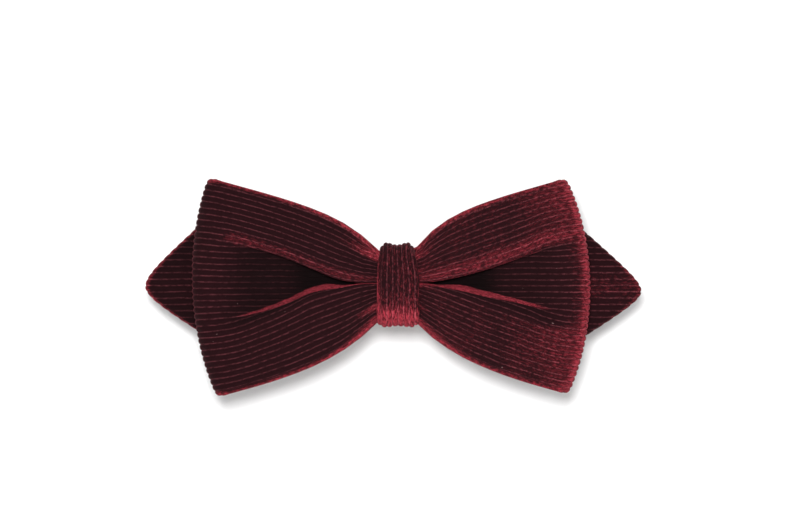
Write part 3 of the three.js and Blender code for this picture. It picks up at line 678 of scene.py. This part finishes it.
def bowPaintedLight(points, normal, across):
    # painted sheen and shade for the pile's colour: painted sheen where the cloth turns to the right, along its edges
    # (most of all by the band), along the upper lobe's crest and at the right wing's end; painted shade on the
    # pleat's upper wall, over the left wing and along the pleat, darkest deep down in it;
    # across runs from -1 at the strip's low edge to 1 at its top edge
    out, depth, height = np.abs(points[:, :, 0]), points[:, :, 1], points[:, :, 2]
    inner = np.abs(across)
    nearBand = np.exp(-np.maximum(0, out - bow["gatherEnd"]) / bowSheenAndShade["bandRun"])
    turned = np.abs(normal[:, :, 2]) * (bowSheenAndShade["edges"] + bowSheenAndShade["edgesByBand"] * nearBand)
    inPleat = (inner < bowSheenAndShade["wallsWithin"]) & (normal[:, :, 1] < 0.3)
    wall = np.where(normal[:, :, 2] < 0, bowSheenAndShade["upperWall"], bowSheenAndShade["lowerWall"])
    turned = np.where(inPleat, wall, 1.0) * turned
    turned = np.hypot(turned, bowSheenAndShade["rightFold"] * np.maximum(normal[:, :, 0], 0))
    paintedLight = smoothStep(bowSheenAndShade["start"], bowSheenAndShade["full"], turned)
    # painted highlight along the upper lobe's crest
    crest = np.exp(-((across - bowSheenAndShade["crestAcross"]) / bowSheenAndShade["crestWidth"]) ** 2)
    crest = bowSheenAndShade["crest"] * crest * (1 - smoothStep(*bowSheenAndShade["crestEnd"], out))
    rightEnd = smoothStep(*bowSheenAndShade["rightEndFrom"], points[:, :, 0]) * (normal[:, :, 1] < 0)
    middle, low, top = bowSheenAndShade["corners"]
    corner = middle + low * smoothStep(*bowSheenAndShade["lowCorner"], -height)
    corner = corner + top * smoothStep(*bowSheenAndShade["topCorner"], height)
    facing = normal[:, :, 1] < -0.3
    # painted crease shade deep in the pleat
    creaseShade = (inner < bowSheenAndShade["creaseShadeWithin"]) * smoothStep(*bowSheenAndShade["creaseShadeDepth"], depth)
    creaseShade = creaseShade * (1 - smoothStep(*bowSheenAndShade["creaseShadeEnd"], out))
    pleat = (1 - smoothStep(*bowSheenAndShade["pleatSide"], inner)) * (1 - smoothStep(*bowSheenAndShade["pleatEnd"], out))
    # painted shade over the left wing and along the pleat
    shaded = np.where(points[:, :, 0] < 0, bowSheenAndShade["leftShade"], 0.0) + bowSheenAndShade["pleatShade"] * pleat
    paintedLight = paintedLight + bowSheenAndShade["rightEnd"] * rightEnd * corner * (1 - paintedLight) - shaded * (1 - paintedLight) * facing
    return paintedLight + (crest - bowSheenAndShade["creaseShade"] * creaseShade) * facing


def makeBow():
    backY = bowHigh.y - cloth["thickness"] / 2
    across, lean, push, phase = stripRing(bow["ribs"], bow["edgeRibs"])
    skins = [wingSkins(wings[w], backY) for w in ("left", "right")]
    points = joinWings(*[ringPoints(outer, inner, across, lean, push) for outer, inner in skins])
    # painted sheen and shade, baked from the bow's surface directions
    paintedLight = bowPaintedLight(points, surfaceNormals(points, True), across[None, :])
    uv, stripLength = stripUv(points, phase)
    piece = closedStrip("front_bow", raiseRibs(points, phase, cloth["ribHeight"]), bowCorduroy, uv, paintedLight)
    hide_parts("front_bow_cover")
    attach(piece, "tie")
    return skins


def makeBowStiffener(skins):
    across, lean = thinRing(60)
    points = joinWings(*[ringPoints(outer, inner, across, lean, 0 * lean)[1:] for outer, inner in skins])
    piece = closedStrip("front_bow_canvas", points, canvas, None)
    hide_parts("front_bow_stiffener")
    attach(piece, "tie")


makeBowStiffener(makeBow())
print("front bow made")


tailLow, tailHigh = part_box("tail_cover")
tails = {
    "waistHalf": 7.3 * mm,
    "shoulderX": 41.0 * mm,
    "top": 19.5 * mm,
    "low": 16.5 * mm,
    "flare": 17.0 * mm,  # distance over which the strip opens out from the knot
    # for each end: reach, height and roundness of the point, and where the slanting edges leave the top
    # and the low edge
    "ends": {-1: (-tailLow.x, -0.4 * mm, 5.5 * mm, 46.4 * mm, 44.0 * mm),
             1: (tailHigh.x, -1.6 * mm, 4.5 * mm, 41.3 * mm, 42.8 * mm)},
    "rowsEach": 70,
    "ribs": 22,
    "wave": 0.35 * mm,  # left from the gathering, over this run
    "waveRun": 7.0 * mm,
    "canvasRibs": 10,
    "canvasSpread": 0.955,
    "canvasHalf": 0.2 * mm,
    # painted sheen and shade on the left and on the right: painted sheen by the edge and along the middle, and
    # painted shade taken off the face
    "edgeSheen": (0.6, 0.1),
    "middleSheen": (0.14, 0.3),
    "middleWidth": 6 * mm,
    "faceShade": (0.42, 0.26),
}


def tailHalfHeight(x, full):
    # waist + (full - waist) * (1 - exp(-run / flare)), scaled to reach the full height at the shoulder
    run = np.maximum(0.0, np.abs(x) - bow["gatherEnd"])
    span = tails["shoulderX"] - bow["gatherEnd"]
    grown = (1 - np.exp(-run / tails["flare"])) / (1 - np.exp(-span / tails["flare"]))
    return blendValue(tails["waistHalf"], full, np.clip(grown, 0, 1))


def tailEndX(z, side):
    # straight edges from the shoulders to a rounded point: a hyperbola with the two edges as its asymptotes
    reach, tipZ, tipRound, shoulderTop, shoulderLow = tails["ends"][side]
    full = np.where(z > tipZ, tails["top"], -tails["low"])
    shoulder = np.where(z > tipZ, shoulderTop, shoulderLow)
    bend = tipRound / np.sqrt(2)
    slope = (reach - shoulder) / (np.hypot(full - tipZ, bend) - bend)
    return np.maximum(reach - slope * (np.hypot(z - tipZ, bend) - bend), shoulder - 1.5 * mm)


def tailSheet(ribsAcross, spread, bump):
    # middle surface of the strip: rows run from one point to the other, columns over the strip
    face = np.append(ribColumns(ribsAcross), ribsAcross)
    t = 2 * face / ribsAcross - 1
    z0 = blendValue(-tails["low"], tails["top"], (t + 1) / 2)
    lift = ribProfile(face) * bump
    eased = np.linspace(-1, 1, 2 * tails["rowsEach"])[:, None]
    u = np.sign(eased) * (1 - (1 - np.abs(eased)) ** 1.5)
    ends = {side: (tailEndX(z0, side) + lift * 0.7)[None, :] for side in (-1, 1)}
    x = spread * np.where(u < 0, u * ends[-1], u * ends[1])
    top = spread * tailHalfHeight(x, tails["top"])
    low = spread * tailHalfHeight(x, tails["low"])
    z = blendValue(-low, top, (t[None, :] + 1) / 2)
    toEnd = np.minimum(np.abs(x + ends[-1]), np.abs(ends[1] - x)) * 0.72
    rim = np.clip(np.minimum(toEnd, np.minimum(top - z, z + low)) / (cloth["thickness"] / 2), 0, 1)
    gather = np.exp(-np.maximum(0, np.abs(x) - bow["gatherEnd"]) / tails["waveRun"])
    y = (tailLow.y + tailHigh.y) / 2 + tails["wave"] * gather * np.cos(4.5 * np.pi * t[None, :])
    pitch = (top + low) / ribsAcross / cloth["ribPitch"]
    lift = lift[None, :] * np.clip(pitch, 0.2, 1) * np.clip(rim * 1.5, 0, 1)
    uv = np.stack(np.broadcast_arrays(x / cloth["ribPitch"], face[None, :]), axis=2)
    return x, y, z, rim, lift, uv


def makeTails():
    # two skins that meet round the outline; 1 - (1 - rim)^2 under a root gives the rounded edge
    x, y, z, rim, lift, uv = tailSheet(tails["ribs"], 1.0, cloth["ribHeight"])
    half = cloth["thickness"] / 2 * np.sqrt(np.maximum(0, 1 - (1 - rim) ** 2))
    front = np.stack([x, y - half - lift, z], axis=2)
    back = np.stack([x, y + half + lift, z], axis=2)
    rows, columns = x.shape
    points = np.concatenate([front.reshape(-1, 3), back.reshape(-1, 3)])
    faces = np.concatenate([gridFaces(rows, columns, False), gridFaces(rows, columns, False, rows * columns)])
    piece = makePiece("tail_strip", points, faces, bowCorduroy, np.concatenate([uv, uv]))
    # painted sheen along the edges and the middle, painted shade over the face
    edgeSheen, middleSheen, faceShade = [np.where(x > 0, tails[k][1], tails[k][0])
                                      for k in ("edgeSheen", "middleSheen", "faceShade")]
    middleLines = middleSheen * np.exp(-(z / tails["middleWidth"]) ** 2)
    paintedLight = edgeSheen * (1 - rim) + middleLines - faceShade * rim
    storePaintedLight(piece, np.concatenate([paintedLight, paintedLight]))
    closeRim(piece, 0.02 * mm)
    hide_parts("tail_cover")
    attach(piece, "tie")


def makeTailStiffener():
    # a thin slab of the same outline, a little smaller
    x, y, z = tailSheet(tails["canvasRibs"], tails["canvasSpread"], 0.0)[:3]
    rows, columns = x.shape
    face = gridFaces(rows, columns, False)
    right, left = columns * np.arange(1, rows) + columns - 1, columns * np.arange(1, rows - 1)[::-1]
    top = (rows - 1) * columns + np.arange(columns - 1)[::-1]
    ring = np.concatenate([np.arange(columns), right, top, left])
    rim = np.stack([ring, np.roll(ring, -1), np.roll(ring, -1) + rows * columns, ring + rows * columns], axis=1)
    half = tails["canvasHalf"]
    points = np.concatenate([np.stack([x, y + offset, z], axis=2).reshape(-1, 3) for offset in (-half, half)])
    piece = makePiece("tail_canvas", points, np.concatenate([face, face + rows * columns, rim]), canvas)
    turnOutwards(piece)
    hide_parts("tail_stiffener")
    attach(piece, "tie")


def closeRim(obj, distance):
    # joins the two skins where they meet and turns every face outwards
    work = bmesh.new()
    work.from_mesh(obj.data)
    bmesh.ops.remove_doubles(work, verts=work.verts, dist=distance)
    openEdges = [e for e in work.edges if e.is_boundary]
    if openEdges:
        bmesh.ops.holes_fill(work, edges=openEdges)
    bmesh.ops.recalc_face_normals(work, faces=work.faces)
    work.to_mesh(obj.data)
    work.free()
    obj.data.shade_smooth()


makeTails()
makeTailStiffener()
print("tail strip made")


knot = {
    "ribs": 6,
    "edgeRibs": 2,
    "corner": 4.6 * mm,
    "swell": 1.5 * mm,  # the front is this much fuller in the middle than at the corners
    "seamHalf": 0.9 * mm,
    "straightSteps": 16,
    "cornerSteps": 14,
    "edgeRoll": 0.3 * mm,  # the band's two long edges stand a little proud
    "topRoll": 0.55 * mm,  # and more so where it turns over the top
    "topPinch": 0.75 * mm,  # it is narrower there too
    "topShift": -0.25 * mm,
    "turnOver": (0.1, 0.95),  # shares of the half height between which it does so
    "sideSheen": 0.62,  # painted sheen on the left edge beside the turned ends
    "sheenRange": (-0.02, 0.42),
    "finePlaces": 61,
}


def bandPath(inset):
    # a rounded rectangle in Y and Z with a swollen front, from the band's low end at the back to its top end
    back, front = knotHigh.y - inset, knotLow.y + inset
    half = knotHigh.z - inset
    corner = knot["corner"] - inset
    centres = ((back - corner, -half + corner, 0), (front + corner, -half + corner, 1),
               (front + corner, half - corner, 2), (back - corner, half - corner, 3))
    stretch = []
    last = np.array([back, -knot["seamHalf"]])
    for centreY, centreZ, quarter in centres:
        angle = -np.pi / 2 * (quarter + np.linspace(0, 1, knot["cornerSteps"]))
        arc = np.stack([centreY + corner * np.cos(angle), centreZ + corner * np.sin(angle)], axis=1)
        run = np.linspace(0, 1, knot["straightSteps"], endpoint=False)[:, None]
        stretch.append(blendValue(last[None, :], arc[0][None, :], run))
        stretch.append(arc[:-1])
        last = arc[-1]
    run = np.linspace(0, 1, knot["straightSteps"])[:, None]
    stretch.append(blendValue(last[None, :], np.array([[back, knot["seamHalf"]]]), run))
    path = np.concatenate(stretch)
    frontShare = smoothStep(0.45, 1.0, (back - path[:, 0]) / (back - front))
    path[:, 0] += knot["swell"] * frontShare * (path[:, 1] / half) ** 2
    return path


def makeKnotStiffener(outer, inner):
    across, lean = thinRing(12)
    piece = closedStrip("knot_canvas", ringPoints(outer, inner, across, lean, 0 * lean)[1:-1], canvas, None)
    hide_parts("knot_band_stiffener")
    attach(piece, "tie")


def makeKnot():
    across, lean, push, phase = stripRing(knot["ribs"], knot["edgeRibs"])
    outerPath, innerPath = bandPath(cloth["ribHeight"]), bandPath(cloth["thickness"])
    t = np.linspace(-1, 1, knot["finePlaces"])[None, :]
    high = smoothStep(*knot["turnOver"], outerPath[:, 1] / knotHigh.z)[:, None]
    width = knotHigh.x - cloth["thickness"] / 2 - cloth["ribHeight"] * 0.5 - knot["topPinch"] * high
    x = width * t + knot["topShift"] * high
    roll = blendValue(knot["edgeRoll"], knot["topRoll"], high) * (np.sin(np.pi * np.abs(t) ** 2.2) - 0.5)
    away = outerPath - innerPath
    away = away / np.linalg.norm(away, axis=1, keepdims=True)
    outer = np.stack([x, outerPath[:, :1] + away[:, :1] * roll, outerPath[:, 1:] + away[:, 1:] * roll], axis=2)
    inner = np.stack([x, innerPath[:, :1] + 0 * t, innerPath[:, 1:] + 0 * t], axis=2)
    points = ringPoints(outer, inner, across, lean, push)
    normal = -surfaceNormals(points, True)
    # painted sheen: brighter where the band faces down and along its left edge
    turned = knot["sideSheen"] * np.maximum(-normal[:, :, 0], 0) ** 4 - normal[:, :, 2]
    paintedLight = smoothStep(*knot["sheenRange"], turned)
    uv, stripLength = stripUv(points, phase)
    piece = closedStrip("knot_band", raiseRibs(points, phase, -cloth["ribHeight"]), knotCorduroy, uv, paintedLight)
    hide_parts("knot_band_cover")
    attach(piece, "tie")
    makeKnotStiffener(outer, inner)


makeKnot()
print("knot band made")


def refine(node, name, material, body, bevel):
    # the node's own shape with its facets merged and its sharp edges rounded
    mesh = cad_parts[node].data.copy()
    mesh.name = name
    work = bmesh.new()
    work.from_mesh(mesh)
    bmesh.ops.remove_doubles(work, verts=work.verts, dist=0.001 * mm)
    bmesh.ops.dissolve_limit(work, angle_limit=np.radians(1), verts=work.verts, edges=work.edges)
    work.to_mesh(mesh)
    work.free()
    mesh.materials.clear()
    mesh.materials.append(material)
    obj = bpy.data.objects.new(name, mesh)
    bpy.context.scene.collection.objects.link(obj)
    modifier = obj.modifiers.new("edgeRound", "BEVEL")
    modifier.width = bevel
    modifier.segments = 2
    modifier.limit_method = "ANGLE"
    modifier.angle_limit = np.radians(40)
    mesh.shade_smooth()
    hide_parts(node)
    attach(obj, body)
    return obj


refine("clip_base_plate", "clip_plate", nickelPlate, "tie", 0.12 * mm)
refine("left_clip_jaw", "left_jaw_bent", nickelPlate, "left_jaw", 0.12 * mm)
refine("right_clip_jaw", "right_jaw_bent", nickelPlate, "right_jaw", 0.12 * mm)
patch = refine("backing_patch", "felt_patch", felt, "tie", 0.25 * mm)
for node, material in (
    ("waist_gathering_thread", sewingThread), ("knot_closing_thread", sewingThread),
    ("left_clip_thread", sewingThread), ("right_clip_thread", sewingThread),
    ("left_hinge_pin", nickelPlate), ("right_hinge_pin", nickelPlate),
):
    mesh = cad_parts[node].data
    mesh.materials.clear()
    mesh.materials.append(material)
spring = {
    "wire": 0.25 * mm,  # radius
    "coil": 1.1 * mm,
    "pin": (10.0 * mm, 3.2 * mm),
    "turns": 4.5,
    "halfLength": 2.15 * mm,
    "legX": 5.0 * mm,
    "plateLegY": 0.15 * mm,
    "jawLegY": 4.8 * mm,
    "turnSteps": 24,
    "legSteps": 12,
    "sides": 12,
}


def springPath():
    # a leg on the plate, a coil round the pin, rising evenly, and a leg under the jaw's thumb tab
    pinX, pinY = spring["pin"]
    u = np.linspace(0, 1, int(spring["turns"] * spring["turnSteps"]) + 1)
    turn = -np.pi / 2 + 2 * np.pi * spring["turns"] * u
    coil = np.stack([pinX + spring["coil"] * np.cos(turn), pinY + spring["coil"] * np.sin(turn),
                     spring["halfLength"] * (2 * u - 1)], axis=1)
    share = np.linspace(0, 1, spring["legSteps"], endpoint=False)[:, None]
    plateEnd = np.array([[spring["legX"], spring["plateLegY"], -spring["halfLength"]]])
    jawEnd = np.array([[spring["legX"], spring["jawLegY"], spring["halfLength"]]])
    return np.concatenate([blendValue(plateEnd, coil[:1], share), coil, blendValue(jawEnd, coil[-1:], share)[::-1]])


def makeSpring(side, body, node):
    # a round wire: centre + radius * (n cos a + b sin a), n = tangent x z and b = tangent x n
    path = springPath() * np.array([side, 1, 1])
    tangent = np.gradient(path, axis=0)
    tangent = tangent / np.linalg.norm(tangent, axis=1, keepdims=True)
    across = np.cross(tangent, np.array([0.0, 0.0, 1.0]))
    across = across / np.linalg.norm(across, axis=1, keepdims=True)
    up = np.cross(tangent, across)
    angle = np.linspace(0, 2 * np.pi, spring["sides"], endpoint=False)
    ring = across[:, None, :] * np.cos(angle)[None, :, None] + up[:, None, :] * np.sin(angle)[None, :, None]
    piece = closedStrip(f"{body}_spring", path[:, None, :] + spring["wire"] * ring, springSteel, None)
    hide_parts(node)
    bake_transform(piece)


makeSpring(-1, "left_jaw", "left_torsion_spring")
makeSpring(1, "right_jaw", "right_torsion_spring")
print("clip made")


studio = {
    "viewHeight": 7.3 * mm,
    "viewAcross": 0.5 * mm,
    "distance": 1.2,
    "frameWidth": 204.8 * mm,
    "wallGap": 0.8 * mm,
    "wallTop": 0.6,
    "wallHalf": 0.45,
    "wallShade": 0.86,
    "sweepTop": -0.035,
    "sweepRadius": 0.06,
    "floorReach": 1.8,
    "floorShade": 0.8,
    "airStrength": 0.25,
    "airSeen": 0.85,
}


def paint(name, shade, oneSided):
    material, tree, shader = newMaterial(name)
    shader.inputs["Base Color"].default_value = (shade, shade, shade, 1)
    shader.inputs["Roughness"].default_value = 1.0
    shader.inputs["Specular IOR Level"].default_value = 0.0
    if oneSided:
        clear = tree.nodes.new("ShaderNodeBsdfTransparent")
        geometry = tree.nodes.new("ShaderNodeNewGeometry")
        path = tree.nodes.new("ShaderNodeLightPath")
        hide = mathNode(tree, "MAXIMUM", geometry.outputs["Backfacing"], path.outputs["Is Shadow Ray"])
        mix = tree.nodes.new("ShaderNodeMixShader")
        tree.links.new(hide, mix.inputs[0])
        tree.links.new(shader.outputs[0], mix.inputs[1])
        tree.links.new(clear.outputs[0], mix.inputs[2])
        tree.links.new(mix.outputs[0], tree.nodes["Material Output"].inputs["Surface"])
    return material


def makeStage():
    # a wall close behind the tie curves forward into a floor; the wall is clear when seen from behind
    wallY = cadBox[1][1] + studio["wallGap"]
    turn = np.linspace(0, np.pi / 2, 17)
    curveY = wallY - studio["sweepRadius"] * (1 - np.cos(turn))
    curveZ = studio["sweepTop"] - studio["sweepRadius"] * np.sin(turn)
    reach = studio["floorReach"]
    y = np.concatenate([[wallY], curveY, [-reach]])
    z = np.concatenate([[studio["wallTop"]], curveZ, [curveZ[-1]]])
    x = np.array([-studio["wallHalf"], studio["wallHalf"]])
    points = np.stack(np.broadcast_arrays(x[None, :], y[:, None], z[:, None]), axis=2)
    wallPaint = paint("sweepPaint", studio["wallShade"], True)
    sweep = makePiece("sweep", points, gridFaces(len(y), 2, False)[:, ::-1], wallPaint)
    low = curveZ[-1] - 1 * mm
    corners = np.array([[-reach, -reach, low], [reach, -reach, low], [reach, reach, low], [-reach, reach, low]])
    floor = makePiece("floor", corners, [(0, 1, 2, 3)], paint("floorPaint", studio["floorShade"], False))


def aim(obj, place, target):
    obj.location = place
    obj.rotation_euler = (Vector(target) - Vector(place)).to_track_quat("-Z", "Y").to_euler()


def makeStudio():
    scene = bpy.context.scene
    scene.view_settings.view_transform = "Standard"
    world = bpy.data.worlds.new("studioAir")
    world.use_nodes = True
    air = world.node_tree.nodes["Background"]
    seen = world.node_tree.nodes.new("ShaderNodeLightPath")
    extra = studio["airSeen"] - studio["airStrength"]
    strength = mathNode(world.node_tree, "MULTIPLY", seen.outputs["Is Camera Ray"], extra)
    strength = mathNode(world.node_tree, "ADD", strength, studio["airStrength"])
    air.inputs["Color"].default_value = (1, 1, 1, 1)
    world.node_tree.links.new(strength, air.inputs["Strength"])
    scene.world = world
    for name, place, size, power, spread in (
        ("keyLight", (-0.04, -1.0, 0.15), 0.2, 4.5, 120),
        ("fillLight", (0.3, -0.8, 0.7), 0.6, 0.9, 180),
        ("backLight", (0.3, 0.9, 0.5), 0.6, 6.0, 180),
    ):
        light = bpy.data.lights.new(name, "AREA")
        light.energy = power
        light.size = size
        light.spread = np.radians(spread)
        obj = bpy.data.objects.new(name, light)
        scene.collection.objects.link(obj)
        aim(obj, place, (0.0, -0.01, 0.0))
    camera = bpy.data.objects.new("mainCamera", bpy.data.cameras.new("mainCamera"))
    scene.collection.objects.link(camera)
    middleY = (knotLow.y + bowHigh.y) / 2
    place = (studio["viewAcross"], middleY - studio["distance"], studio["viewHeight"])
    aim(camera, place, (studio["viewAcross"], middleY, studio["viewHeight"]))
    camera.data.lens = camera.data.sensor_width * studio["distance"] / studio["frameWidth"]
    camera.data.clip_start = 0.01
    scene.camera = camera


makeStage()
makeStudio()
print("studio made")
